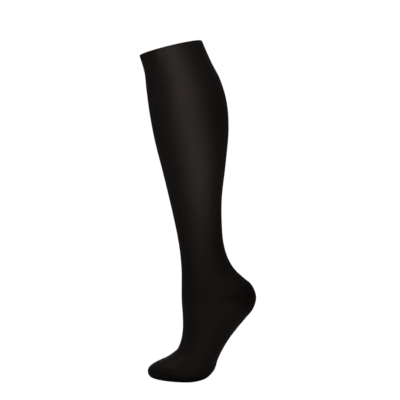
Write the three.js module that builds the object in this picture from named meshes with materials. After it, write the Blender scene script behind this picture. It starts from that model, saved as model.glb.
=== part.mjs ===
// A knee-high compression stocking with a closed toe, in the form it has when worn with the heel raised.
// Millimetres, +Z up. The toe points along -X, the heel along +X, and the two sides of Y = 0 are alike.
// The origin is the middle of the open top, where the wearer's leg fills the stocking and holds it.
// It is knitted as one tube in four stretches: leg, heel pocket, foot and toe cap, open at the top only.

import * as THREE from "three";
import { mergeVertices } from "three/addons/utils/BufferGeometryUtils.js";

// Cloth
const KNIT_WALL = 1.2;
const TURNED_EDGE_WALL = 1.9;
const TURNED_EDGE_DEPTH = 22;
const EDGE_STEP_LENGTH = 5;
const SEAM_GAP = 0.3;
const CORNER_HEIGHT = 0.8; // of the heel pocket, where it ends at each side

// Fineness of the walls, and the step, in sections and in radians, that slopes are measured over
const COLUMNS_AROUND = 36;
const RINGS_PER_SECTION = 3;
const SLOPE_STEP = 0.01;
const MERGE_DISTANCE = 1e-4;
const ANGLE_MARGIN = 1e-6;

// Finishes, from the photograph: black knit, a shade darker and flatter where it is reinforced
const FINISHES = {
  leg: { color: 0x23211f, roughness: 0.62 },
  heel_pocket: { color: 0x1a1816, roughness: 0.72 },
  foot: { color: 0x211f1d, roughness: 0.64 },
  toe_cap: { color: 0x1c1a18, roughness: 0.7 },
};

// Sections from the open top to the toe. Each is one loop of the tube, seen edge-on in the side outline:
// frontX, frontZ is its end on the shin and instep, backX, backZ its end on the calf, heel and sole.
// halfWidth is half its width across. widest moves the widest place towards the back, as a share of
// the loop's depth. frontFull and backFull square the two ends off: 0 is a plain ellipse.
const SECTION_SIZES = ["frontX", "frontZ", "backX", "backZ", "halfWidth", "widest", "frontFull", "backFull"];
const SECTIONS = {
  topEdge: [-50, -12, 50, 12, 49, 0.03, 0.02, 0.05],
  belowKnee: [-42, -39, 65.5, -23, 51.5, 0.04, 0.02, 0.05],
  calfTop: [-39, -65, 79.5, -50.5, 54, 0.05, 0.01, 0.05],
  calfWidest: [-34, -103, 90, -87, 56, 0.06, 0, 0.05],
  calfLow: [-25.5, -148, 93, -129, 54, 0.06, 0, 0.05],
  calfTaper: [-12.5, -199, 88.5, -183, 48, 0.05, 0, 0.05],
  shin: [1.5, -257, 82, -243, 39, 0.03, 0, 0.04],
  lowerShin: [11, -301.5, 82.5, -289.5, 32.5, 0.02, 0.02, 0.02],
  ankle: [15, -327, 85, -313, 30.5, 0, 0.04, 0.02],
  ankleBack: [16.5, -342.5, 91.5, -335, 30.5, 0, 0.06, 0.04],
  aboveHeel: [17.5, -358.5, 102, -353, 31, 0, 0.08, 0.08],
  heelTop: [17.5, -373, 116, -366.5, 31.5, 0.01, 0.1, 0.14],
  heelUpper: [17.5, -386, 130, -379, 32, 0.02, 0.12, 0.2],
  heel: [17.5, -398.5, 137, -398.5, 32, 0.02, 0.12, 0.24],
  heelLower: [18, -410.5, 132, -417, 32, 0.03, 0.12, 0.22],
  heelUnder: [19, -422.5, 120.5, -431.5, 32.5, 0.04, 0.12, 0.18],
  arch: [19.5, -435, 107, -447.5, 33.5, 0.05, 0.1, 0.16],
  midfoot: [19.5, -448, 93, -466, 35, 0.06, 0.08, 0.15],
  instep: [18, -461, 82.5, -483.5, 37, 0.07, 0.06, 0.15],
  ballBack: [15.5, -471, 75.5, -498.5, 39.5, 0.08, 0.05, 0.15],
  ball: [11, -481, 70, -514.5, 42, 0.08, 0.05, 0.16],
  ballFront: [4, -487, 57.5, -527.5, 44, 0.08, 0.05, 0.18],
  toesRoot: [-4, -492.5, 38, -533.5, 43.5, 0.08, 0.05, 0.2],
  toes: [-12, -496.5, 16, -534, 41.5, 0.08, 0.05, 0.2],
  toesFront: [-20, -500, -5, -532.5, 36.5, 0.07, 0.05, 0.18],
  toeRound: [-28, -504.5, -21, -530, 29, 0.05, 0.04, 0.14],
  toeTurn: [-33.5, -509, -31, -526.5, 20.5, 0.02, 0.02, 0.08],
  toeClose: [-36, -513, -35, -522.5, 12, 0, 0, 0],
};
const TOE_TIP = [-36.5, -517.5];

// Where the stretches meet. The heel pocket is half of the tube's loops, from side to side round the back.
const HEEL_POCKET = { top: "heelTop", corner: "heel", under: "heelUnder" };
const TOE_LINE = "toes";

const names = Object.keys(SECTIONS);
const rowOf = (name) => Object.fromEntries(SECTION_SIZES.map((size, i) => [size, SECTIONS[name][i]]));
const rows = names.map(rowOf);
const tipPlace = rows.length;
const wholeCircle = 2 * Math.PI;

// One curve runs down the shin, round the toe's tip, and back along the sole, the heel and the calf.
// Its y holds the half width, which passes through 0 at the tip, so that the toe closes round and smooth.
const outline = new THREE.CatmullRomCurve3(
  [
    ...rows.map((row) => new THREE.Vector3(row.frontX, row.halfWidth, row.frontZ)),
    new THREE.Vector3(TOE_TIP[0], 0, TOE_TIP[1]),
    ...rows.toReversed().map((row) => new THREE.Vector3(row.backX, -row.halfWidth, row.backZ)),
  ],
  false,
  "centripetal",
);

// The three shares of a section, as one smooth curve with a point for each section.
const shares = new THREE.CatmullRomCurve3(
  [...rows, rows.at(-1)].map((row) => new THREE.Vector3(row.widest, row.frontFull, row.backFull)),
  false,
  "catmullrom",
);

const placeOf = (name) => names.indexOf(name);
const mix = THREE.MathUtils.lerp;

// The outer face of the knit. place counts sections from the top edge, and around is the angle
// from the front by way of +Y. Depth runs from the front end to the back end of the section.
function outerPoint(place, around) {
  const front = outline.getPoint(place / (2 * tipPlace));
  const back = outline.getPoint(1 - place / (2 * tipPlace));
  const { x: widest, y: frontFull, z: backFull } = shares.getPoint(place / tipPlace);
  const cos = Math.cos(around);
  const sin = Math.sin(around);
  const depth = (1 - cos) / 2 + widest * sin * sin;
  const full = mix(frontFull, backFull, (1 - cos) / 2);
  const halfWidth = (front.y - back.y) / 2;
  return new THREE.Vector3(
    mix(front.x, back.x, depth),
    halfWidth * sin * (1 + full * cos * cos),
    mix(front.z, back.z, depth),
  );
}

// How the outer face runs on along the tube, in millimetres to a section, and around it.
function runAlong(place, around) {
  const from = Math.max(place - SLOPE_STEP, 0);
  const to = Math.min(place + SLOPE_STEP, tipPlace - SLOPE_STEP);
  return outerPoint(to, around).sub(outerPoint(from, around)).divideScalar(to - from);
}

function runAround(place, around) {
  return outerPoint(place, around + SLOPE_STEP).sub(outerPoint(place, around - SLOPE_STEP));
}

// The way out of the cloth. At the tip it is square to the outline's run.
function outward(place, around) {
  if (place >= tipPlace) {
    const run = outline.getTangent(0.5);
    return new THREE.Vector3(run.z, 0, -run.x).normalize();
  }
  return runAround(place, around).cross(runAlong(place, around)).normalize();
}

// The wall is one layer, and two where the top edge is turned in.
function wallAt(place, around) {
  const below = outerPoint(place, around).distanceTo(outerPoint(0, around));
  const turned = 1 - THREE.MathUtils.smoothstep(below, TURNED_EDGE_DEPTH - EDGE_STEP_LENGTH, TURNED_EDGE_DEPTH);
  return mix(KNIT_WALL, TURNED_EDGE_WALL, turned);
}

function innerPoint(place, around) {
  return outerPoint(place, around).addScaledVector(outward(place, around), -wallAt(place, around));
}

// A place that lies some millimetres further along the tube.
function movedAlong(place, around, distance) {
  return place + distance / runAlong(place, around).length();
}

// A closed wall between two edges of the tube. Each edge gives its place for an angle. The wall runs
// from column `from` to column `to`, and closes on itself where that is the whole way round.
function wall(upperEdge, lowerEdge, rings, from = 0, to = COLUMNS_AROUND) {
  const whole = to - from === COLUMNS_AROUND;
  const angleOf = (column) => ((whole ? column % COLUMNS_AROUND : column) * wholeCircle) / COLUMNS_AROUND;
  const angles = Array.from({ length: to - from + 1 }, (_, i) => angleOf(from + i));
  const gridOf = (pointAt) =>
    Array.from({ length: rings + 1 }, (_, ring) =>
      angles.map((around) => {
        const place = mix(upperEdge(around), lowerEdge(around), ring / rings);
        return pointAt(place, place >= tipPlace ? 0 : around);
      }),
    );
  const outer = gridOf(outerPoint);
  const inner = gridOf(innerPoint);

  const positions = [];
  const addTriangle = (...corners) => {
    const [a, b, c] = corners;
    if (a.distanceTo(b) && b.distanceTo(c) && c.distanceTo(a)) {
      corners.forEach((corner) => positions.push(corner.x, corner.y, corner.z));
    }
  };
  // Faces between two neighbouring lines of points
  const addBand = (line, next) => {
    for (let i = 0; i + 1 < line.length; i += 1) {
      addTriangle(line[i], line[i + 1], next[i + 1]);
      addTriangle(line[i], next[i + 1], next[i]);
    }
  };
  for (let ring = 0; ring < rings; ring += 1) {
    addBand(outer[ring], outer[ring + 1]);
    addBand(inner[ring + 1], inner[ring]);
  }
  addBand(inner[0], outer[0]);
  addBand(outer[rings], inner[rings]);
  if (!whole) {
    const column = (grid, i) => grid.map((ring) => ring.at(i));
    addBand(column(outer, 0), column(inner, 0));
    addBand(column(inner, -1), column(outer, -1));
  }

  const geometry = new THREE.BufferGeometry();
  geometry.setAttribute("position", new THREE.Float32BufferAttribute(positions, 3));
  const merged = mergeVertices(geometry, MERGE_DISTANCE);
  merged.computeVertexNormals();
  return merged;
}

// The heel pocket's edges spread from its two corners at the sides to its full height at the back.
const isBack = (around) => Math.abs(around - Math.PI) < Math.PI / 2 + ANGLE_MARGIN;
const pocketShare = (around) => Math.max(0, 1 - Math.abs(around - Math.PI) / (Math.PI / 2));
const pocketEdge = (around, end) =>
  mix(placeOf(HEEL_POCKET.corner), placeOf(HEEL_POCKET[end]), pocketShare(around));
const pocketTop = (around) => movedAlong(pocketEdge(around, "top"), around, -CORNER_HEIGHT / 2);
const pocketUnder = (around) => movedAlong(pocketEdge(around, "under"), around, CORNER_HEIGHT / 2);

// The leg and the foot stop short of the pocket at the back, and of each other at the front.
const setBack = (around) => (isBack(around) ? SEAM_GAP + CORNER_HEIGHT / 2 : SEAM_GAP / 2);
const legEnd = (around) => movedAlong(pocketEdge(around, "top"), around, -setBack(around));
const footStart = (around) => movedAlong(pocketEdge(around, "under"), around, setBack(around));

const stocking = new THREE.Group();

function addPiece(name, geometry) {
  const material = new THREE.MeshStandardMaterial({ ...FINISHES[name], metalness: 0 });
  const piece = new THREE.Mesh(geometry, material);
  piece.name = name;
  stocking.add(piece);
}

const cornerPlace = placeOf(HEEL_POCKET.corner);
const toeLine = placeOf(TOE_LINE);
const ringsBetween = (upper, lower) => (lower - upper) * RINGS_PER_SECTION;

// Leg, from the turned top edge to the ankle
const topEdge = () => 0;
addPiece("leg", wall(topEdge, legEnd, ringsBetween(0, cornerPlace)));

// Heel pocket, which the front half of the tube doesn't have
const pocketRings = ringsBetween(placeOf(HEEL_POCKET.top), placeOf(HEEL_POCKET.under));
const quarter = COLUMNS_AROUND / 4;
addPiece("heel_pocket", wall(pocketTop, pocketUnder, pocketRings, quarter, 3 * quarter));

// Foot, from the ankle and the pocket to the toe line
const footEnd = (around) => movedAlong(toeLine, around, -SEAM_GAP / 2);
addPiece("foot", wall(footStart, footEnd, ringsBetween(cornerPlace, toeLine)));

// Toe cap, closed round the toes
const toeStart = (around) => movedAlong(toeLine, around, SEAM_GAP / 2);
const toeTip = () => tipPlace;
addPiece("toe_cap", wall(toeStart, toeTip, ringsBetween(toeLine, tipPlace)));

export default stocking;
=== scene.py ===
# %% [markdown]
# # A compression stocking, finished in Blender
#
# The part is one knee-high stocking of black elastic knit, in the form it has when worn. A real one leaves
# the knitting machine as a single tube: leg, heel pocket, foot and toe cap are stretches of it, not cut
# panels.
#
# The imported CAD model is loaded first, as a fixed frame. It has the right shape already, as four plain
# walls, so this script makes the cloth again over the same outer face, finer, and spends its care on the
# knit.

# %% Load the fixed frame
import math

import bpy
import numpy as np
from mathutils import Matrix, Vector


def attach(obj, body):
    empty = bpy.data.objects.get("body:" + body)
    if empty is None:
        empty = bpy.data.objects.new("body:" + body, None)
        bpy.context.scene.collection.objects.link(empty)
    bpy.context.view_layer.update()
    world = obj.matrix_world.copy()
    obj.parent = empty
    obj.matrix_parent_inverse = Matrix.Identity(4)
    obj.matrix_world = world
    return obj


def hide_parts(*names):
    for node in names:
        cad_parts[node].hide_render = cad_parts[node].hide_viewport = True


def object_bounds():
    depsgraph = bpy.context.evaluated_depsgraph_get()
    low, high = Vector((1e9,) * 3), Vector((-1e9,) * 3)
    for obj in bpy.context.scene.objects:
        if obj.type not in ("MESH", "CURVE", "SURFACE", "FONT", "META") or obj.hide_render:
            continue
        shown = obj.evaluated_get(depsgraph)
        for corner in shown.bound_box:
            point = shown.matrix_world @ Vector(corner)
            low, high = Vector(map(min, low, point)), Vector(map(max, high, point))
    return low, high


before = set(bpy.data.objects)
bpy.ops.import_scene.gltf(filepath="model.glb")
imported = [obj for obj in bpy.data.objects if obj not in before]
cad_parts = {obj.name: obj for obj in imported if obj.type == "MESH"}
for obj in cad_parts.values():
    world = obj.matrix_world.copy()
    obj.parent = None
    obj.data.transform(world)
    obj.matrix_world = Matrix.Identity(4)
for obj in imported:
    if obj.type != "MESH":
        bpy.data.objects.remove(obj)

cad_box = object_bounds()
print("CAD box", [[round(x, 4) for x in corner] for corner in cad_box])

# %% [markdown]
# ## The camera
#
# The photograph looks at the stocking exactly from its side and from far off, so its outline hardly narrows
# with depth. A long lens far away gives the same view. The camera stands level, at a distance where one
# pixel of the picture covers 1.6 mm of the stocking, and opposite the place that the picture's middle shows.

# %% The camera
CAMERA_DISTANCE = 2.6
SENSOR_WIDTH = 36
PIXELS_ACROSS = 400
METRES_TO_A_PIXEL = 0.0016
MIDDLE_X = 0.04704
MIDDLE_Z = -0.24316

scene = bpy.context.scene
camera_data = bpy.data.cameras.new("side_view")
camera_data.sensor_width = SENSOR_WIDTH
camera_data.lens = SENSOR_WIDTH * CAMERA_DISTANCE / (PIXELS_ACROSS * METRES_TO_A_PIXEL)
camera = bpy.data.objects.new("side_view", camera_data)
camera.location = (MIDDLE_X, -CAMERA_DISTANCE, MIDDLE_Z)
camera.rotation_euler = (math.pi / 2, 0, 0)
scene.collection.objects.link(camera)
scene.camera = camera
print("lens", round(camera_data.lens, 2), "mm")

# %% [markdown]
# ## The form
#
# A leg in a stocking is a stack of rounded loops that lean and change size on the way down, turn round the
# heel and close at the toe. It could be sculpted, or subdivided from a coarse cage, but a ladder of named
# sections keeps real sizes in sight: each rung is one loop of the tube, with its front end, its back end and
# its width. These are the CAD model's own sections, in metres, so the cloth lies on the solids' outer face.

# %% Sections from the open top to the toe
# Columns: front x, front z, back x, back z, half width, how far the widest place lies towards the back as a
# share of the depth, and how much the front and the back end are squared off, where 0 is a plain ellipse.
SECTIONS = {
    "top edge": (-0.050, -0.012, 0.050, 0.012, 0.049, 0.03, 0.02, 0.05),
    "below knee": (-0.042, -0.039, 0.0655, -0.023, 0.0515, 0.04, 0.02, 0.05),
    "calf top": (-0.039, -0.065, 0.0795, -0.0505, 0.054, 0.05, 0.01, 0.05),
    "calf widest": (-0.034, -0.103, 0.090, -0.087, 0.056, 0.06, 0, 0.05),
    "calf low": (-0.0255, -0.148, 0.093, -0.129, 0.054, 0.06, 0, 0.05),
    "calf taper": (-0.0125, -0.199, 0.0885, -0.183, 0.048, 0.05, 0, 0.05),
    "shin": (0.0015, -0.257, 0.082, -0.243, 0.039, 0.03, 0, 0.04),
    "lower shin": (0.011, -0.3015, 0.0825, -0.2895, 0.0325, 0.02, 0.02, 0.02),
    "ankle": (0.015, -0.327, 0.085, -0.313, 0.0305, 0, 0.04, 0.02),
    "ankle back": (0.0165, -0.3425, 0.0915, -0.335, 0.0305, 0, 0.06, 0.04),
    "above heel": (0.0175, -0.3585, 0.102, -0.353, 0.031, 0, 0.08, 0.08),
    "heel top": (0.0175, -0.373, 0.116, -0.3665, 0.0315, 0.01, 0.1, 0.14),
    "heel upper": (0.0175, -0.386, 0.130, -0.379, 0.032, 0.02, 0.12, 0.2),
    "heel": (0.0175, -0.3985, 0.137, -0.3985, 0.032, 0.02, 0.12, 0.24),
    "heel lower": (0.018, -0.4105, 0.132, -0.417, 0.032, 0.03, 0.12, 0.22),
    "heel under": (0.019, -0.4225, 0.1205, -0.4315, 0.0325, 0.04, 0.12, 0.18),
    "arch": (0.0195, -0.435, 0.107, -0.4475, 0.0335, 0.05, 0.1, 0.16),
    "midfoot": (0.0195, -0.448, 0.093, -0.466, 0.035, 0.06, 0.08, 0.15),
    "instep": (0.018, -0.461, 0.0825, -0.4835, 0.037, 0.07, 0.06, 0.15),
    "ball back": (0.0155, -0.471, 0.0755, -0.4985, 0.0395, 0.08, 0.05, 0.15),
    "ball": (0.011, -0.481, 0.070, -0.5145, 0.042, 0.08, 0.05, 0.16),
    "ball front": (0.004, -0.487, 0.0575, -0.5275, 0.044, 0.08, 0.05, 0.18),
    "toes root": (-0.004, -0.4925, 0.038, -0.5335, 0.0435, 0.08, 0.05, 0.2),
    "toes": (-0.012, -0.4965, 0.016, -0.534, 0.0415, 0.08, 0.05, 0.2),
    "toes front": (-0.020, -0.500, -0.005, -0.5325, 0.0365, 0.07, 0.05, 0.18),
    "toe round": (-0.028, -0.5045, -0.021, -0.530, 0.029, 0.05, 0.04, 0.14),
    "toe turn": (-0.0335, -0.509, -0.031, -0.5265, 0.0205, 0.02, 0.02, 0.08),
    "toe close": (-0.036, -0.513, -0.035, -0.5225, 0.012, 0, 0, 0),
}
TOE_TIP = (-0.0365, -0.5175)

section_names = list(SECTIONS)
sections = np.array(list(SECTIONS.values()))
TIP_PLACE = len(sections)
print(len(sections), "sections from the top edge to the toe")

# %% [markdown]
# ## One smooth face through the sections
#
# The sections are only rungs. Between them the cloth runs on smooth curves: one goes down the shin, round
# the toe's tip and back up the sole, heel and calf. A "place" counts the sections on the way down, and an
# "angle" goes round the tube from the front, in radians, so that any point of the cloth has just these two
# numbers.


# %% Angles, even steps, and a smooth curve through points
FULL_TURN = 2 * np.pi
HALF_TURN = FULL_TURN / 2
QUARTER = FULL_TURN / 4
BACK = HALF_TURN


def even(steps, first=0.0, last=1.0):
    """Numbers in even steps from first to last."""
    return np.linspace(first, last, steps + 1)


def curve_through(points, share, centripetal):
    """Points of a Catmull-Rom curve, at shares from 0 to 1 of its stretches.

    Each stretch is a cubic between two points. Its slope at a point is taken from the neighbours on both
    sides: half the way from one to the other or, on the centripetal kind, weighed by the square roots of the
    distances, which keeps it from bulging where the points lie unevenly. Past the ends a point is mirrored.
    """
    ahead = 2 * points[0] - points[1]
    behind = 2 * points[-1] - points[-2]
    padded = np.vstack([ahead, points, behind])
    place = np.clip(share, 0, 1) * (len(points) - 1)
    stretch = np.minimum(place.astype(int), len(points) - 2)
    w = (place - stretch)[..., None]
    before, start, end, after = (padded[stretch + step] for step in range(4))
    slope_at_start = (end - before) / 2
    slope_at_end = (after - start) / 2
    if centripetal:
        d0, d1, d2 = (
            np.sqrt(np.linalg.norm(b - a, axis=-1, keepdims=True))
            for a, b in ((before, start), (start, end), (end, after))
        )
        slope_at_start = (start - before) * d1 / d0 - (end - before) * d1 / (d0 + d1) + end - start
        slope_at_end = end - start - (after - start) * d1 / (d1 + d2) + (after - end) * d1 / d2
    return (
        (2 * w**3 - 3 * w**2 + 1) * start
        + (w**3 - 2 * w**2 + w) * slope_at_start
        + (3 * w**2 - 2 * w**3) * end
        + (w**3 - w**2) * slope_at_end
    )


# %% The outer face of the knit
front_side = sections[:, [0, 4, 1]]
back_side = sections[::-1, [2, 4, 3]] * (1, -1, 1)
tip = np.array([[TOE_TIP[0], 0, TOE_TIP[1]]])
outline = np.vstack([front_side, tip, back_side])
shares = np.vstack([sections[:, 5:], sections[-1:, 5:]])


def outer_face(place, angle):
    """The outer face, for arrays of places and angles.

    A section runs straight from its front end to its back end. The angle goes round it as on an ellipse: the
    depth along it is half of 1 minus the cosine, with a little more at the sides, and the width is the half
    width times the sine, squared off near the ends by the square of the cosine.
    """
    front = curve_through(outline, place / (2 * TIP_PLACE), True)
    back = curve_through(outline, 1 - place / (2 * TIP_PLACE), True)
    share = curve_through(shares, place / TIP_PLACE, False)
    widest, front_full, back_full = np.moveaxis(share, -1, 0)
    backwards = (1 - np.cos(angle)) / 2
    depth = backwards + widest * np.sin(angle) ** 2
    full = front_full + (back_full - front_full) * backwards
    half_width = (front[..., 1] - back[..., 1]) / 2
    x = front[..., 0] + (back[..., 0] - front[..., 0]) * depth
    y = half_width * np.sin(angle) * (1 + full * np.cos(angle) ** 2)
    z = front[..., 2] + (back[..., 2] - front[..., 2]) * depth
    return np.stack([x, y, z], -1)


# %% Lengths on the outer face
RUN_STEPS = 400


def line_length(points):
    """Length of a line of points: its stretches from each point to the next, added up."""
    return float(np.linalg.norm(np.diff(points, axis=0), axis=1).sum())


def run_at(angle, upper, lower):
    """Length along the outer face at one angle, between two places."""
    place = even(RUN_STEPS, upper, lower)
    return line_length(outer_face(place, np.full_like(place, angle)))


# %% The way along, round and out of the cloth
SLOPE_STEP = 0.01
TIP_SHARE = 0.5
TIP_SHARE_STEP = 1e-4


def run_along(place, angle):
    """How the face runs on for one section further down: the difference over a short step, over the step."""
    above = np.maximum(place - SLOPE_STEP, 0)
    below = np.minimum(place + SLOPE_STEP, TIP_PLACE - SLOPE_STEP)
    step = (below - above)[..., None]
    return (outer_face(below, angle) - outer_face(above, angle)) / step


def run_around(place, angle):
    """How the face runs on round the tube: the difference over a short turn, over the turn."""
    turned = outer_face(place, angle + SLOPE_STEP) - outer_face(place, angle - SLOPE_STEP)
    return turned / (2 * SLOPE_STEP)


def outward(place, angle):
    """Unit vectors out of the cloth: square to the way round and the way along.

    At the toe's tip all columns meet. There the way out is square to the outline, which runs on from the
    front over the tip to the back.
    """
    near_tip = np.minimum(place, TIP_PLACE - 2 * SLOPE_STEP)
    out = np.cross(run_around(near_tip, angle), run_along(near_tip, angle))
    sides_of_tip = np.array([TIP_SHARE - TIP_SHARE_STEP, TIP_SHARE + TIP_SHARE_STEP])
    run = np.diff(curve_through(outline, sides_of_tip, True), axis=0)[0]
    at_tip = np.array([run[2], 0, -run[0]])
    out = np.where((place >= TIP_PLACE)[..., None], at_tip, out)
    return out / np.linalg.norm(out, axis=-1, keepdims=True)


def moved_along(place, angle, distance):
    """The place that lies a distance in metres further down the tube."""
    return place + distance / np.linalg.norm(run_along(place, angle), axis=-1)


# %% [markdown]
# ## Where the four stretches meet
#
# The leg ends in a loop round the ankle. At the heel, half of the loops go to and fro instead of round,
# which makes a pocket between two corners at the sides of the ankle. The foot goes on from the pocket and
# from the front of the leg, up to the toe line, and the toe cap closes the tube. On the real stocking these
# edges are shared loops, so here neighbouring pieces end on exactly the same line.

# %% The shared edges
HEEL_TOP = section_names.index("heel top")
HEEL_CORNER = section_names.index("heel")
HEEL_UNDER = section_names.index("heel under")
TOE_LINE = section_names.index("toes")


def pocket_share(angle):
    """How far into the heel pocket an angle lies: 0 at its corners and outside them, 1 at the back."""
    return np.clip(1 - np.abs(angle - BACK) / QUARTER, 0, 1)


def leg_end(angle):
    """Place of the leg's lower edge: the corner's section, rising evenly to the pocket's top at the back."""
    return HEEL_CORNER + (HEEL_TOP - HEEL_CORNER) * pocket_share(angle)


def foot_start(angle):
    """Place of the foot's first loop: the corner's section, sinking evenly below the pocket at the back."""
    return HEEL_CORNER + (HEEL_UNDER - HEEL_CORNER) * pocket_share(angle)


def level(place):
    """An edge that follows one section all the way round."""
    return lambda angle: np.full_like(angle, place)


print("the heel pocket is", round(run_at(BACK, HEEL_TOP, HEEL_UNDER), 3), "m high at the back")


# %% [markdown]
# ## Knit coordinates
#
# A knit is counted, not measured: so many wales, the columns of stitches, all the way round, and so many
# courses, the rows, down the length. The machine has the same number of needles from top to toe, so the
# wales crowd together at the ankle and spread at the calf. Each piece gets this count as a UV map, and the
# materials draw their stitches from it.
#
# Heel and toe are knitted as pockets of short rows. Their courses run alongside both of the pocket's edges,
# and where the two sets meet they leave a slanted line, the suture. So there the courses are counted from
# the nearer edge, and the grid has a double line of points at the suture, where the count jumps.
#
# A second UV map lays the outer face, the inner face and the edges of each piece side by side on one
# picture, without any overlap.

# %% The knit's count
WALES = 256
COURSE_HEIGHT = 0.00078
RING_SPACING = 0.0024
COLUMNS = 144
KNIT_WALL = 0.0012
TURNED_EDGE_WALL = 0.0019
TURNED_EDGE_DEPTH = 0.022
EDGE_STEP_LENGTH = 0.005
LADDER_ROWS = 1200
LADDER_COLUMNS = 48

places_down = np.linspace(0, TIP_PLACE, LADDER_ROWS)
angles_round = even(LADDER_COLUMNS, 0, FULL_TURN)[:-1]
ladder = outer_face(*np.meshgrid(places_down, angles_round, indexing="ij"))
steps = np.linalg.norm(np.diff(ladder, axis=0), axis=-1).mean(axis=1)
length_down = np.concatenate([[0], np.cumsum(steps)])
print("length down the tube", round(float(length_down[-1]), 3), "m,", WALES, "wales")


def wall_at(place, angle):
    """Thickness of the wall: one layer, two where the top edge is turned in, and a smooth step between."""
    below = np.linalg.norm(outer_face(place, angle) - outer_face(np.zeros_like(place), angle), axis=-1)
    step = np.clip((below - TURNED_EDGE_DEPTH + EDGE_STEP_LENGTH) / EDGE_STEP_LENGTH, 0, 1)
    turned = 1 - step**2 * (3 - 2 * step)
    return KNIT_WALL + (TURNED_EDGE_WALL - KNIT_WALL) * turned


def inner_face(place, angle):
    """The outer face moved in, square to the cloth, by the wall."""
    return outer_face(place, angle) - outward(place, angle) * wall_at(place, angle)[..., None]


# %% How each stretch counts its stitches
NO_SUTURE = 1.0
HAIR = 1e-9


def wales_round(turned):
    """Wales counted round the tube, from the front."""
    return turned / FULL_TURN * WALES


def run_down(points):
    """How far down its column each point of a grid lies, in metres from the first row."""
    steps = np.linalg.norm(np.diff(points, axis=0), axis=-1)
    return np.concatenate([np.zeros((1, points.shape[1])), np.cumsum(steps, axis=0)])


def even_courses(points, turned):
    """Round courses. Every column has the same number of stitches, in even steps from edge to edge. This and
    the next two functions give each point's wale and course, and how far it lies from a suture in metres."""
    run = run_down(points)
    courses = round(float(run[-1].mean()) / COURSE_HEIGHT)
    course = run / run[-1] * courses
    return np.broadcast_to(wales_round(turned), course.shape), course, np.full_like(course, NO_SUTURE)


def heel_short_rows(points, turned):
    """Short rows, counted down from the upper edge in the first half of the rows, and up to the lower edge
    in the second. The suture is the middle row."""
    run = run_down(points)
    half = len(run) // 2
    course = np.concatenate([run[:half], run[half:] - run[-1]]) / COURSE_HEIGHT
    return np.broadcast_to(wales_round(turned), course.shape), course, np.abs(run - run[-1] / 2)


def toe_short_rows(points, turned):
    """Short rows that turn round an axis, which runs from one end of the toe line to the other.

    A course's count is its turn away from the toe line, times the distance from the axis. Over the toes it
    is counted from the upper half of the toe line, backwards, and under them from the lower half. The wales
    keep their distance from the middle plane. The two sutures run from the axis to the toe's tip.
    """
    quarter = len(turned) // 4
    off_axis = (points - points[0, quarter])[..., [0, 2]]
    line = off_axis[0, 0]
    distance = np.linalg.norm(off_axis, axis=-1)
    cosine = off_axis @ line / np.maximum(distance * np.linalg.norm(line), HAIR)
    turn = np.arccos(np.clip(cosine, -1, 1))
    over = np.abs(turned - BACK) >= QUARTER
    course = np.where(over, -turn, HALF_TURN - turn) * distance / COURSE_HEIGHT
    aside = np.arcsin(np.clip(points[..., 1] / points[0, quarter, 1], -1, 1))
    from_suture = np.abs(np.abs(turned - BACK) - QUARTER) * distance
    return wales_round(np.where(over, aside, HALF_TURN - aside)), course, from_suture


# %% [markdown]
# ## From a grid of points to a closed shell
#
# Every stretch is one grid: its rows go down the outer face, over the lower edge, back up the inner face and
# over the upper edge to the start, and its columns go round. Solidify could thicken a single face instead,
# but the wall is thicker at the turned edge and the rim has to be round there, so the rows are carried right
# round the wall. Points that land in one place, where the grid closes on itself or a pole gathers a row,
# become one vertex.


# %% A mesh from a grid
MERGE_DECIMALS = 7
SHARP_FOLD = math.radians(50)


def mesh_from_grid(name, points, uv_maps, values, apart=()):
    """A mesh with one face for each cell of the grid, UV maps and named values given at the grid's points.

    Corners that share a place, to a ten-thousandth of a millimetre, are merged. A face with two merged
    corners becomes a triangle, and one with fewer than three corners left goes. Nothing joins a row listed
    in apart to the next one. Edges where the mesh turns by more than the sharp fold's angle stay sharp.
    """
    rows, columns = points.shape[:2]
    index = np.arange(rows * columns).reshape(rows, columns)
    cells = np.stack([index[:-1, :-1], index[:-1, 1:], index[1:, 1:], index[1:, :-1]], -1)
    cells = np.delete(cells, list(apart), axis=0).reshape(-1, 4)
    places, first, vertex_of = np.unique(
        points.reshape(-1, 3).round(MERGE_DECIMALS), axis=0, return_index=True, return_inverse=True
    )
    vertex = vertex_of.reshape(-1)[cells]
    kept = vertex != np.roll(vertex, 1, axis=1)
    sides = kept.sum(axis=1)
    kept &= (sides > 2)[:, None]
    sides = sides[sides > 2]

    mesh = bpy.data.meshes.new(name)
    mesh.vertices.add(len(places))
    mesh.vertices.foreach_set("co", places.ravel())
    mesh.loops.add(int(kept.sum()))
    mesh.loops.foreach_set("vertex_index", vertex[kept])
    mesh.polygons.add(len(sides))
    mesh.polygons.foreach_set("loop_start", np.cumsum(sides) - sides)
    mesh.update(calc_edges=True)
    for map_name, uv in uv_maps.items():
        mesh.uv_layers.new(name=map_name).data.foreach_set("uv", uv.reshape(-1, 2)[cells[kept]].ravel())
    for value_name, value in values.items():
        mesh.attributes.new(value_name, "FLOAT", "POINT").data.foreach_set("value", value.ravel()[first])
    mesh.validate()
    mesh.shade_smooth()
    mesh.set_sharp_from_angle(angle=SHARP_FOLD)
    return mesh


def new_piece(name, mesh):
    """An object for the mesh, in the scene."""
    piece = bpy.data.objects.new(name, mesh)
    scene.collection.objects.link(piece)
    mesh.calc_loop_triangles()
    print(name, len(mesh.vertices), "points,", len(mesh.loop_triangles), "triangles")
    return piece


# %% The folded top edge
FOLD_STEPS = 6


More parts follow.
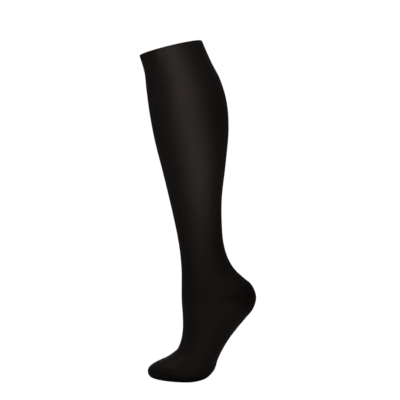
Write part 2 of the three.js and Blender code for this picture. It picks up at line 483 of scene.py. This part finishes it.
def folded_edge(outer_row, inner_row, angle):
    """Rows of the fold, from the inner face over to the outer: half a circle, with its crest up the tube. Its
    middle lies half a wall's thickness below the CAD model's edge, and the crest is level with that edge."""
    down = run_along(np.zeros_like(angle), angle)
    down /= np.linalg.norm(down, axis=-1, keepdims=True)
    middle = (outer_row + inner_row) / 2
    reach = (outer_row - inner_row) / 2
    radius = np.linalg.norm(reach, axis=-1, keepdims=True)
    turn = even(FOLD_STEPS, 0, HALF_TURN)[:, None, None]
    rows = middle - reach * np.cos(turn) - down * radius * np.sin(turn)
    rows[0] = inner_row
    rows[-1] = outer_row
    return rows


# %% Places on the picture, as left, right, bottom and top
OUTER_PART = (0.0, 0.74, 0.03, 1.0)
INNER_PART = (0.76, 1.0, 0.03, 1.0)
LOWER_EDGE_PART = (0.0, 0.74, 0.0, 0.008)
UPPER_EDGE_PART = (0.0, 0.74, 0.014, 0.022)


def on_picture(part, across, upwards):
    """Picture coordinates: the part's left and bottom, plus the shares across and upwards of its size."""
    left, right, bottom, top = part
    across, upwards = np.broadcast_arrays(across, upwards)
    return np.stack([left + (right - left) * across, bottom + (top - bottom) * upwards], -1)


# %% Rows of the wall
def places_between(upper, lower, share, angle, folded):
    """Places for the rows of each column, at shares of the length from the upper to the lower edge. Under a
    folded edge they start half a wall's thickness lower, which leaves room for the fold."""
    top = upper(angle)
    if folded:
        top = moved_along(top, angle, TURNED_EDGE_WALL / 2)
    top_length = np.interp(top, places_down, length_down)
    lower_length = np.interp(lower(angle), places_down, length_down)
    return np.interp(top_length + (lower_length - top_length) * share, length_down, places_down)


def round_the_wall(value, upper_rows):
    """Carries the outer face's values over the lower edge, up the inner face and over the upper edge."""
    return np.concatenate([value, value[[-1, -1]], value[::-1], np.repeat(value[:1], upper_rows, axis=0)])


# %% A stretch of the tube
def stretch_of_tube(name, upper, lower, share, turned, count, folded=False):
    """A closed wall between two edges of the tube.

    Its columns lie at given angles round the tube, and its rows at given shares of the length from the upper
    to the lower edge. They run down the outer face, over the lower edge, up the inner face and over the
    upper edge. Each band of rows starts where the one before it ends. The toe's tip counts as no edge, and
    over the upper edge the courses are counted on from the outer face.
    """
    share = share[:, None]
    angle = np.where(turned >= FULL_TURN, 0.0, turned)
    place = places_between(upper, lower, share, angle, folded)
    angles = np.broadcast_to(angle, place.shape)
    outer = outer_face(place, angles)
    inner = inner_face(place, angles)
    lower_edge = np.stack([outer[-1], inner[-1]])
    upper_edge = folded_edge(outer[0], inner[0], angle) if folded else np.stack([inner[0], outer[0]])

    run = run_down(outer)
    to_lower = np.where(lower(angle) >= TIP_PLACE, np.inf, run[-1] - run)
    over = even(len(upper_edge) - 1)[:, None]
    values = [*count(outer, turned), np.minimum(run, to_lower)]
    wale, course, from_suture, from_edge = (round_the_wall(value, len(over)) for value in values)
    fold_length = run_down(upper_edge)[-1]
    course[-len(over) :] -= fold_length * (1 - over) / COURSE_HEIGHT

    across = (turned - turned[0]) / (turned[-1] - turned[0])
    step = np.array([[0.0], [1.0]])
    picture = [
        on_picture(OUTER_PART, across, 1 - share),
        on_picture(LOWER_EDGE_PART, across, 1 - step),
        on_picture(INNER_PART, across, share[::-1]),
        on_picture(UPPER_EDGE_PART, across, over),
    ]
    inside = np.concatenate([0 * share, step, 1 + 0 * share, 1 - over])
    mesh = mesh_from_grid(
        name,
        np.concatenate([outer, lower_edge, inner[::-1], upper_edge]),
        {"knit": np.stack([wale, course], -1), "OFBake": np.concatenate(picture)},
        {"inside": inside * np.ones_like(across), "from_edge": from_edge, "from_suture": from_suture},
    )
    return new_piece(name, mesh)


def rows_between(upper, lower):
    """How many rows keep the ring spacing between two sections."""
    return round(float(np.diff(np.interp([upper, lower], places_down, length_down))[0]) / RING_SPACING)


# %% [markdown]
# ## The four stretches
#
# Each piece stands for the CAD node of the same stretch, and hides it. The two pockets curve more sharply
# than the tube, so their rows lie closer. At the sutures the count of courses jumps, so the heel pocket's
# middle row is doubled there, and so are two of the toe cap's columns, a hair apart.

# %% Rows and columns
POCKET_ROWS_CLOSER = 1.5
columns_round = even(COLUMNS, 0, FULL_TURN)
leg_rows = even(rows_between(0, HEEL_CORNER))
foot_rows = even(rows_between(HEEL_CORNER, TOE_LINE))
toe_rows = even(int(rows_between(TOE_LINE, TIP_PLACE) * POCKET_ROWS_CLOSER))
heel_half = int(rows_between(HEEL_TOP, HEEL_UNDER) * POCKET_ROWS_CLOSER / 2)
heel_rows = np.concatenate([even(heel_half, 0, 0.5), even(heel_half, 0.5, 1)])
heel_columns = even(COLUMNS // 2, QUARTER, 3 * QUARTER)
toe_columns = np.concatenate(
    [
        even(COLUMNS // 4, 0, QUARTER),
        even(COLUMNS // 2, QUARTER + HAIR, 3 * QUARTER - HAIR),
        even(COLUMNS // 4, 3 * QUARTER, FULL_TURN),
    ]
)
print("rows of leg, heel, foot and toe", [len(r) for r in (leg_rows, heel_rows, foot_rows, toe_rows)])

# %% Leg, heel pocket, foot and toe cap
leg = stretch_of_tube("leg_cloth", level(0), leg_end, leg_rows, columns_round, even_courses, folded=True)
heel = stretch_of_tube("heel_pocket_cloth", leg_end, foot_start, heel_rows, heel_columns, heel_short_rows)
foot = stretch_of_tube("foot_cloth", foot_start, level(TOE_LINE), foot_rows, columns_round, even_courses)
toe = stretch_of_tube(
    "toe_cap_cloth", level(TOE_LINE), level(TIP_PLACE), toe_rows, toe_columns, toe_short_rows
)

# %% [markdown]
# ## The linked seams
#
# A knitted stocking has hardly any sewing. The toe pocket is closed over the toes by linking: a thread
# catches the loops of both edges, one by one. The top edge is turned in, and its last loops are caught on
# the inside in the same way. Curves with a bevel could draw the thread, but a twist of two strands is just a
# round profile carried along a path, so it is worked out as one more grid.


# %% Two strands twisted along a path
STRAND_RADIUS = 0.00022
TWIST_RADIUS = 0.00024
TWIST_LENGTH = 0.0024
SUNK_IN_CLOTH = 0.00032
RINGS_TO_A_TWIST = 8
STRAND_SIDES = 6
TAPER_LENGTH = 0.004
STRAND_PARTS = ((0.0, 0.49, 0.0, 1.0), (0.51, 1.0, 0.0, 1.0))


def linked_seam(name, path, out, closed=False):
    """A twist of two strands on the cloth, along a path of points with unit vectors out of the cloth.

    Each strand winds round the path like a screw thread, half a turn behind the other one. Its profile is a
    circle. Where the seam doesn't close on itself, both radii shrink to nothing over the taper's length.
    """
    run = run_down(path[:, None])[:, 0]
    twists = round(run[-1] / TWIST_LENGTH)
    at = even(twists * RINGS_TO_A_TWIST)
    path = np.stack([np.interp(at * run[-1], run, axis) for axis in path.T], -1)
    out = np.stack([np.interp(at * run[-1], run, axis) for axis in out.T], -1)
    forwards = np.gradient(path, axis=0)
    if closed:
        forwards[[0, -1]] = forwards[0] + forwards[-1]
        taper = np.ones_like(at)
    else:
        taper = np.sqrt(np.clip(np.minimum(at, 1 - at) * run[-1] / TAPER_LENGTH, 0, 1))
    aside = np.cross(forwards, out)
    aside /= np.linalg.norm(aside, axis=-1, keepdims=True)
    taper = taper[:, None]
    middle = path + out * taper * (TWIST_RADIUS + STRAND_RADIUS - SUNK_IN_CLOTH)
    turned = even(STRAND_SIDES, 0, FULL_TURN)
    profile = out[:, None] * np.cos(turned)[:, None] + aside[:, None] * np.sin(turned)[:, None]
    strands = []
    for start in (0, HALF_TURN):
        wound = (FULL_TURN * twists * at + start)[:, None]
        centre = middle + (out * np.cos(wound) + aside * np.sin(wound)) * taper * TWIST_RADIUS
        strands.append(centre[:, None] + profile * (taper * STRAND_RADIUS)[..., None])

    across = even(STRAND_SIDES)
    ply = np.stack(np.broadcast_arrays(across, at[:, None] * twists), -1)
    pictures = [on_picture(part, across, at[:, None]) for part in STRAND_PARTS]
    uv_maps = {"ply": np.concatenate([ply, ply]), "OFBake": np.concatenate(pictures)}
    return new_piece(name, mesh_from_grid(name, np.concatenate(strands), uv_maps, {}, apart=[len(at) - 1]))


# %% The seam over the toes, and the one inside the turned edge
PATH_STEPS = 720
seam_angle = even(PATH_STEPS, -QUARTER, QUARTER)
seam_place = np.full_like(seam_angle, TOE_LINE)
seam_path = outer_face(seam_place, seam_angle)
toe_seam = linked_seam("toe_seam", seam_path, outward(seam_place, seam_angle))

hem_angle = even(PATH_STEPS, 0, FULL_TURN)
hem_angle[-1] = 0
hem_place = moved_along(np.zeros_like(hem_angle), hem_angle, TURNED_EDGE_DEPTH)
hem_path = inner_face(hem_place, hem_angle)
hem_seam = linked_seam("hem_seam", hem_path, -outward(hem_place, hem_angle), closed=True)

# %% [markdown]
# ## The knit, as a group of nodes
#
# Plain knit shows columns of small V shapes on its face, and rows of short arcs on its back. There are far
# too many stitches to model, and at this size they only show from close by, so they are relief in the
# materials. No row of a real knit lies quite straight, so a slow noise moves the courses a little up and
# down. All four finishes share the stitches, so they are drawn once, in a node group.


# %% Helpers for nodes
def math_node(tree, operation, *values):
    """A Math node. Each value is a number or another node's output. Gives the new node's output."""
    node = tree.nodes.new("ShaderNodeMath")
    node.operation = operation
    for socket, value in zip(node.inputs, values):
        if isinstance(value, (int, float)):
            socket.default_value = value
        else:
            tree.links.new(value, socket)
    return node.outputs[0]


def ramp_node(tree, value, low, high, to_low=0.0, to_high=1.0):
    """A Map Range node that runs smoothly from to_low to to_high while the value goes from low to high."""
    node = tree.nodes.new("ShaderNodeMapRange")
    node.interpolation_type = "SMOOTHSTEP"
    tree.links.new(value, node.inputs["Value"])
    for socket, number in (("From Min", low), ("From Max", high), ("To Min", to_low), ("To Max", to_high)):
        node.inputs[socket].default_value = number
    return node.outputs["Result"]


def value_of(tree, name):
    """A named value of the piece's own points."""
    node = tree.nodes.new("ShaderNodeAttribute")
    node.attribute_name = name
    return node.outputs["Fac"]


def noise_node(tree, scale, detail=2.0):
    """Cloudy noise on Object coordinates, from 0 to 1. The scale is in clouds to the metre."""
    place = tree.nodes.new("ShaderNodeTexCoord")
    noise = tree.nodes.new("ShaderNodeTexNoise")
    noise.inputs["Scale"].default_value = scale
    noise.inputs["Detail"].default_value = detail
    tree.links.new(place.outputs["Object"], noise.inputs["Vector"])
    return noise.outputs["Fac"]


# %% Plain knit
V_SPREAD = 0.24
V_MIDDLE = 0.09
YARN_HALF_WIDTH = 0.17
ARC_HEIGHT = 0.18
ARC_HALF_WIDTH = 0.42
ARC_FLAT_TOP = 0.05
DRIFT_CLOUDS = 55
UNEVEN_CLOUDS = 18

plain_knit = bpy.data.node_groups.new("plain_knit", "ShaderNodeTree")
plain_knit.interface.new_socket("Height", in_out="OUTPUT", socket_type="NodeSocketFloat")
plain_knit.interface.new_socket("Unevenness", in_out="OUTPUT", socket_type="NodeSocketFloat")


def draw_plain_knit(tree):
    """Height of the yarn over the gaps, 0 to 1, and a slow unevenness.

    In each cell of one wale by one course, the face has two slanted bars, alike on both sides of the cell's
    middle, which come closer from top to bottom. The back has one bar that waves across the wales. Widths
    and heights are shares of a cell, and the clouds are counted to the metre.
    """
    knit = tree.nodes.new("ShaderNodeUVMap")
    knit.uv_map = "knit"
    count = tree.nodes.new("ShaderNodeSeparateXYZ")
    tree.links.new(knit.outputs["UV"], count.inputs[0])
    wale = count.outputs["X"]
    course = math_node(tree, "ADD", count.outputs["Y"], noise_node(tree, DRIFT_CLOUDS, detail=3))

    aside = math_node(tree, "ABSOLUTE", math_node(tree, "SUBTRACT", math_node(tree, "FRACT", wale), 0.5))
    upwards = math_node(tree, "SUBTRACT", 1.0, math_node(tree, "FRACT", course))
    bar_middle = math_node(tree, "MULTIPLY_ADD", upwards, V_SPREAD, V_MIDDLE)
    off_bar = math_node(tree, "ABSOLUTE", math_node(tree, "SUBTRACT", aside, bar_middle))
    face = ramp_node(tree, off_bar, YARN_HALF_WIDTH, 0.0)

    wave = math_node(tree, "COSINE", math_node(tree, "MULTIPLY", wale, FULL_TURN))
    bent = math_node(tree, "FRACT", math_node(tree, "MULTIPLY_ADD", wave, ARC_HEIGHT, course))
    off_arc = math_node(tree, "ABSOLUTE", math_node(tree, "SUBTRACT", bent, 0.5))
    back = ramp_node(tree, off_arc, ARC_HALF_WIDTH, ARC_FLAT_TOP)

    sides = tree.nodes.new("ShaderNodeMix")
    tree.links.new(value_of(tree, "inside"), sides.inputs["Factor"])
    tree.links.new(face, sides.inputs["A"])
    tree.links.new(back, sides.inputs["B"])
    out = tree.nodes.new("NodeGroupOutput")
    tree.links.new(sides.outputs["Result"], out.inputs["Height"])
    tree.links.new(noise_node(tree, UNEVEN_CLOUDS, detail=4), out.inputs["Unevenness"])


draw_plain_knit(plain_knit)
print("plain knit drawn with", len(plain_knit.nodes), "nodes")

# %% [markdown]
# ## The black yarn
#
# The yarn is spun-dyed black. Almost no light comes back out of it, and what shows of the form is a soft
# satin sheen on the side of each yarn that faces the light. So the colour is nearly black, the roughness is
# middling, and both the colour and the gloss are a little warm, as in the photograph.
#
# The heel and toe are darker than the leg. A second yarn is knitted in there, which makes the cloth denser
# and duller and its gloss weaker, so their edges are painted lighter: painted sheen that makes up for the
# weaker gloss where they meet the leg and foot. The foot's black is painted lighter than the leg's: painted
# light where the lamps reach the foot less, so that it looks as light as the ankle. Each of these colours
# comes in over the first courses from the edge.

# %% Parts of a finish
NOISE_LOW = 0.3
NOISE_HIGH = 0.7
WARM_SHEEN = (1.0, 0.83, 0.76)


def black_finish(name, gloss, sheen_tint):
    """A new material with its node tree and its shader, whose gloss and tint are even."""
    material = bpy.data.materials.new(name)
    material.use_nodes = True
    shader = material.node_tree.nodes["Principled BSDF"]
    shader.inputs["Specular IOR Level"].default_value = gloss
    shader.inputs["Specular Tint"].default_value = (*sheen_tint, 1)
    return material, material.node_tree, shader


def shade_colour(tree, shader, colour, shade):
    """Links a colour, or a node's output, times a shade to the shader's base colour."""
    shaded = tree.nodes.new("ShaderNodeVectorMath")
    shaded.operation = "SCALE"
    if isinstance(colour, tuple):
        shaded.inputs[0].default_value = colour
    else:
        tree.links.new(colour, shaded.inputs[0])
    tree.links.new(shade, shaded.inputs["Scale"])
    tree.links.new(shaded.outputs["Vector"], shader.inputs["Base Color"])


def raise_relief(tree, shader, height, depth, strength):
    """Links a height to the shader's normal, through a Bump node."""
    bump = tree.nodes.new("ShaderNodeBump")
    bump.inputs["Strength"].default_value = strength
    bump.inputs["Distance"].default_value = depth
    tree.links.new(height, bump.inputs["Height"])
    tree.links.new(bump.outputs["Normal"], shader.inputs["Normal"])


# %% The knit's finish
STITCH_DEPTH = 0.00012
RELIEF = 0.42
YARN_TOP = 0.8
# Painted shade: the knit's colour is darker in the gaps between the yarns and lighter on their tops.
GAP_PAINTED_SHADE = 0.35
YARN_PAINTED_LIGHT = 1.3
UNEVEN_BY = 0.07
GAPS_ROUGHER_BY = 0.1
EDGE_SHADE_WIDTH = 0.012
SUTURE_HALF_WIDTH = 0.0016
SUTURE_SHADE = 0.4


def shade_from_edge(tree, edge_colour, colour):
    """The colour, which comes in from edge_colour near the piece's edges. The step carries painted light: the
    foot's lighter black, and painted sheen at the pockets' edges.
    """
    yarn = tree.nodes.new("ShaderNodeMix")
    yarn.data_type = "RGBA"
    yarn.inputs["A"].default_value = (*edge_colour, 1)
    yarn.inputs["B"].default_value = (*colour, 1)
    inward = ramp_node(tree, value_of(tree, "from_edge"), 0.0, EDGE_SHADE_WIDTH)
    tree.links.new(inward, yarn.inputs["Factor"])
    return yarn.outputs["Result"]


def knit_finish(name, colour, roughness, gloss=0.5, sheen_tint=WARM_SHEEN, edge_colour=None):
    """A black knit, rougher and with painted shade in the yarns' gaps, and painted light on the yarns' tops.

    Where edge_colour is given, the colour comes in from it at the edges, a step that carries painted light,
    and the stitches are darker and flatter along a suture, if the piece has one.
    """
    material, tree, shader = black_finish(name, gloss, sheen_tint)
    knit = tree.nodes.new("ShaderNodeGroup")
    knit.node_tree = plain_knit
    height = knit.outputs["Height"]
    # Painted shade in the gaps between the yarns, and painted light on their tops.
    shade = ramp_node(tree, height, 0.0, YARN_TOP, GAP_PAINTED_SHADE, YARN_PAINTED_LIGHT)
    uneven = ramp_node(tree, knit.outputs["Unevenness"], NOISE_LOW, NOISE_HIGH, 1 - UNEVEN_BY, 1 + UNEVEN_BY)
    shade = math_node(tree, "MULTIPLY", shade, uneven)
    if edge_colour:
        # Painted light: the foot's black fades in from the leg's, and the pockets' edges carry painted sheen.
        colour = shade_from_edge(tree, edge_colour, colour)
        # Darker and flatter along a suture.
        suture_dip = ramp_node(tree, value_of(tree, "from_suture"), 0.0, SUTURE_HALF_WIDTH, SUTURE_SHADE, 1.0)
        shade = math_node(tree, "MULTIPLY", shade, suture_dip)
        height = math_node(tree, "MULTIPLY", height, suture_dip)
    shade_colour(tree, shader, colour, shade)
    rough = ramp_node(tree, height, 0.0, YARN_TOP, roughness + GAPS_ROUGHER_BY, roughness)
    tree.links.new(rough, shader.inputs["Roughness"])
    raise_relief(tree, shader, height, STITCH_DEPTH, RELIEF)
    return material


# %% Four knits
LEG_BLACK = (0.0178, 0.0137, 0.0128)
# Painted light: the foot's black is lighter than the leg's, where the lamps reach the foot less.
FOOT_PAINTED_LIGHT_BLACK = (0.0250, 0.0180, 0.0168)
HEEL_BLACK = (0.0125, 0.0102, 0.0090)
# Painted sheen: the heel's edge black is lighter, to make up for its weaker gloss next to leg and foot.
HEEL_EDGE_PAINTED_SHEEN_BLACK = (0.0225, 0.0175, 0.0162)
TOE_BLACK = (0.0122, 0.0126, 0.0104)
# Painted sheen: the toe's edge black is lighter, to make up for its weaker gloss next to the foot.
TOE_EDGE_PAINTED_SHEEN_BLACK = (0.0185, 0.0155, 0.0138)
TOE_SHEEN = (1.0, 0.95, 0.85)
leg_knit = knit_finish("leg_knit", LEG_BLACK, roughness=0.46)
foot_knit = knit_finish("foot_knit", FOOT_PAINTED_LIGHT_BLACK, roughness=0.46, edge_colour=LEG_BLACK)
heel_knit = knit_finish("heel_knit", HEEL_BLACK, roughness=0.55, gloss=0.4, edge_colour=HEEL_EDGE_PAINTED_SHEEN_BLACK)
toe_knit = knit_finish(
    "toe_knit", TOE_BLACK, roughness=0.5, gloss=0.45, sheen_tint=TOE_SHEEN, edge_colour=TOE_EDGE_PAINTED_SHEEN_BLACK
)
for finish in (leg_knit, foot_knit, heel_knit, toe_knit):
    print(finish.name, "has", len(finish.node_tree.nodes), "nodes")

# %% The linking thread
THREAD_BLACK = (0.0150, 0.0128, 0.0117)
THREAD_GLOSS = 0.5
THREAD_ROUGHNESS = 0.5
PLIES_TO_A_TWIST = 3
PLY_DEPTH = 0.00004
PLY_RELIEF = 0.8
PLY_TOP = 0.7
# Painted shade: the thread's colour is darker between its plies and lighter on their tops.
PLY_GAP_PAINTED_SHADE = 0.5
PLY_PAINTED_LIGHT = 1.2
THREAD_CLOUDS = 400
THREAD_UNEVEN_BY = 0.15


def thread_finish(name, colour):
    """Plied black thread: ridges that wind round each strand, with painted shade between them and painted
    light on their tops, and a slightly uneven colour.
    """
    material, tree, shader = black_finish(name, THREAD_GLOSS, WARM_SHEEN)
    shader.inputs["Roughness"].default_value = THREAD_ROUGHNESS
    ply = tree.nodes.new("ShaderNodeUVMap")
    ply.uv_map = "ply"
    place = tree.nodes.new("ShaderNodeSeparateXYZ")
    tree.links.new(ply.outputs["UV"], place.inputs[0])
    wound = math_node(tree, "MULTIPLY_ADD", place.outputs["Y"], PLIES_TO_A_TWIST, place.outputs["X"])
    wave = math_node(tree, "SINE", math_node(tree, "MULTIPLY", wound, HALF_TURN))
    height = math_node(tree, "ABSOLUTE", wave)
    noise = noise_node(tree, THREAD_CLOUDS)
    uneven = ramp_node(tree, noise, NOISE_LOW, NOISE_HIGH, 1 - THREAD_UNEVEN_BY, 1 + THREAD_UNEVEN_BY)
    # Painted shade between the plies, and painted light on their tops.
    shade = ramp_node(tree, height, 0.0, PLY_TOP, PLY_GAP_PAINTED_SHADE, PLY_PAINTED_LIGHT)
    shade_colour(tree, shader, colour, math_node(tree, "MULTIPLY", uneven, shade))
    raise_relief(tree, shader, height, PLY_DEPTH, PLY_RELIEF)
    return material


linking_thread = thread_finish("linking_thread", THREAD_BLACK)
print(linking_thread.name, "has", len(linking_thread.node_tree.nodes), "nodes")

# %% [markdown]
# ## The cloth in the frame
#
# Each piece rides on the part's one body and hides the CAD node it stands for. A knit that presses on the
# leg is worn stretched: here by 40% round the leg and 5% along it, which is usual for such stockings.

# %% Pieces in the frame
STRETCH_ROUND = 1.4
STRETCH_ALONG = 1.05


def outer_area(mesh):
    """Half the shell's surface, because it has an outer and an inner face of nearly one size."""
    areas = np.empty(len(mesh.polygons))
    mesh.polygons.foreach_get("area", areas)
    return float(areas.sum()) / 2


def place_seam(seam):
    """Puts a linked seam in the frame."""
    seam.data.materials.append(linking_thread)
    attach(seam, "root")


def place_cloth(piece, node, material):
    """Puts the piece in the frame with its finish, hides its CAD node, and works out its area unstretched."""
    piece.data.materials.append(material)
    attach(piece, "root")
    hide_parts(node)
    area = outer_area(piece.data) / (STRETCH_ROUND * STRETCH_ALONG)


# %% Seams and cloth in the frame
place_seam(hem_seam)
place_seam(toe_seam)
place_cloth(leg, "leg", leg_knit)
place_cloth(heel, "heel_pocket", heel_knit)
place_cloth(foot, "foot", foot_knit)
place_cloth(toe, "toe_cap", toe_knit)

# %% [markdown]
# ## Floor and light
#
# The photograph is a cut-out on white. A pale floor with a white world above it gives the same picture: to
# the camera both are plain white, and to every other ray they are a dim studio, or black cloth would turn
# grey. From below the floor can be looked through, so that the sole shows too.
#
# The sheen in the photograph is one narrow stripe down the calf, which fades on the shin. A wide light would
# spread it, so narrow strips stand before the calf and the shin, and a small one further back finishes the
# stripe. Two more light the far side in the same way. They stand between the tube's front and back edge,
# where they light no rim in the photograph's view. Weak wide boxes at both sides and above fill the shade,
# and a lamp close over the open top shows the inside to a camera that looks in.

# %% A pale floor
FLOOR_RADIUS = 12.0
FLOOR_STEPS = 96
FLOOR_GREY = (0.6, 0.6, 0.6, 1)
FLOOR_ROUGHNESS = 0.9
floor_height = cad_box[0][2]


def floor_disc(radius, steps, height):
    """Points of a flat disc: its middle, then evenly round the circle."""
    turn = even(steps, 0, FULL_TURN)[:-1]
    ring = np.stack([radius * np.cos(turn), radius * np.sin(turn), np.full(steps, height)], -1)
    points = np.vstack([[[0, 0, height]], ring])
    around = np.arange(steps)
    faces = np.stack([np.zeros(steps, int), 1 + around, 1 + (around + 1) % steps], -1)
    return points, faces


floor_mesh = bpy.data.meshes.new("pale_floor")
floor_points, floor_faces = floor_disc(FLOOR_RADIUS, FLOOR_STEPS, floor_height)
floor_mesh.from_pydata(floor_points.tolist(), [], floor_faces.tolist())
floor = bpy.data.objects.new("pale_floor", floor_mesh)
scene.collection.objects.link(floor)
print("pale floor at", round(floor_height, 4), "m")

# %% Plain white to the camera
WHITE = (1, 1, 1, 1)
JUST_OVER_WHITE = 1.02


def white_to_camera(tree, kind, shader, output):
    """Links a shader to an output, but plain white light, from a node of the given kind, where a ray comes
    straight from the camera."""
    white = tree.nodes.new(kind)
    white.inputs["Color"].default_value = WHITE
    white.inputs["Strength"].default_value = JUST_OVER_WHITE
    mix = tree.nodes.new("ShaderNodeMixShader")
    path = tree.nodes.new("ShaderNodeLightPath")
    tree.links.new(path.outputs["Is Camera Ray"], mix.inputs[0])
    tree.links.new(shader, mix.inputs[1])
    tree.links.new(white.outputs[0], mix.inputs[2])
    tree.links.new(mix.outputs[0], output)


floor_finish = bpy.data.materials.new("pale_floor")
floor_finish.use_nodes = True
floor_tree = floor_finish.node_tree
floor_shader = floor_tree.nodes["Principled BSDF"]
floor_shader.inputs["Base Color"].default_value = FLOOR_GREY
floor_shader.inputs["Roughness"].default_value = FLOOR_ROUGHNESS
one_sided = floor_tree.nodes.new("ShaderNodeMixShader")
from_below = floor_tree.nodes.new("ShaderNodeNewGeometry")
see_through = floor_tree.nodes.new("ShaderNodeBsdfTransparent")
white_to_camera(floor_tree, "ShaderNodeEmission", floor_shader.outputs[0], one_sided.inputs[1])
floor_tree.links.new(from_below.outputs["Backfacing"], one_sided.inputs[0])
floor_tree.links.new(see_through.outputs[0], one_sided.inputs[2])
floor_tree.links.new(one_sided.outputs[0], floor_tree.nodes["Material Output"].inputs["Surface"])
floor_mesh.materials.append(floor_finish)

# %% The world
ROOM_BRIGHTNESS = 0.06
world = bpy.data.worlds.new("studio")
world.use_nodes = True
scene.world = world
room = world.node_tree.nodes["Background"]
room.inputs["Color"].default_value = WHITE
room.inputs["Strength"].default_value = ROOM_BRIGHTNESS
surface = world.node_tree.nodes["World Output"].inputs["Surface"]
white_to_camera(world.node_tree, "ShaderNodeBackground", room.outputs[0], surface)
print("room brightness", ROOM_BRIGHTNESS)


# %% Soft boxes
# Columns: where the lamp stands, what it points at, width and height in metres, power in watts, and spread
# in degrees, where 180 is all round.
LAMPS = {
    "calf_strip": ((-0.08, -0.5, 0.04), (0.0, 0, 0.04), 0.06, 0.1, 0.037, 55),
    "shin_strip": ((-0.07, -0.5, -0.14), (0.02, 0, -0.14), 0.06, 0.1, 0.0265, 55),
    "shin_back_strip": ((0.2, -0.5, -0.22), (0.05, 0, -0.225), 0.04, 0.04, 0.0085, 26),
    "far_calf_strip": ((0.01, 0.5, 0.02), (0.01, 0, 0.02), 0.04, 0.1, 0.036, 55),
    "far_shin_strip": ((0.035, 0.5, -0.16), (0.035, 0, -0.16), 0.04, 0.1, 0.034, 55),
    "wide_box_near": ((0.0, -2.2, 0.0), (0.03, 0, -0.25), 1.2, 1.2, 2.6, 180),
    "wide_box_far": ((0.0, 2.2, 0.0), (0.03, 0, -0.25), 1.2, 1.2, 2.6, 180),
    "mouth_box": ((0.0, 0, 0.05), (0.01, 0, -0.2), 0.06, 0.06, 0.03, 120),
    "top_box": ((-0.1, -0.1, 1.2), (0.0, 0, -0.35), 0.8, 0.8, 3.9, 180),
}


def soft_box(name, place, aim, width, height, power, spread):
    """An area light at a place, turned towards a point. The camera doesn't see it."""
    light = bpy.data.lights.new(name, "AREA")
    light.shape = "RECTANGLE"
    light.size = width
    light.size_y = height
    light.energy = power
    light.spread = math.radians(spread)
    box = bpy.data.objects.new(name, light)
    towards = np.subtract(aim, place)
    flat = math.hypot(towards[0], towards[1])
    box.rotation_euler = (math.pi / 2 + math.atan2(towards[2], flat), 0, math.atan2(-towards[0], towards[1]))
    box.location = place
    box.visible_camera = False
    scene.collection.objects.link(box)


for name, lamp in LAMPS.items():
    soft_box(name, *lamp)
print(len(LAMPS), "lamps")

# The picture shows the light's levels as they are, with no film curve.
scene.view_settings.view_transform = "Standard"
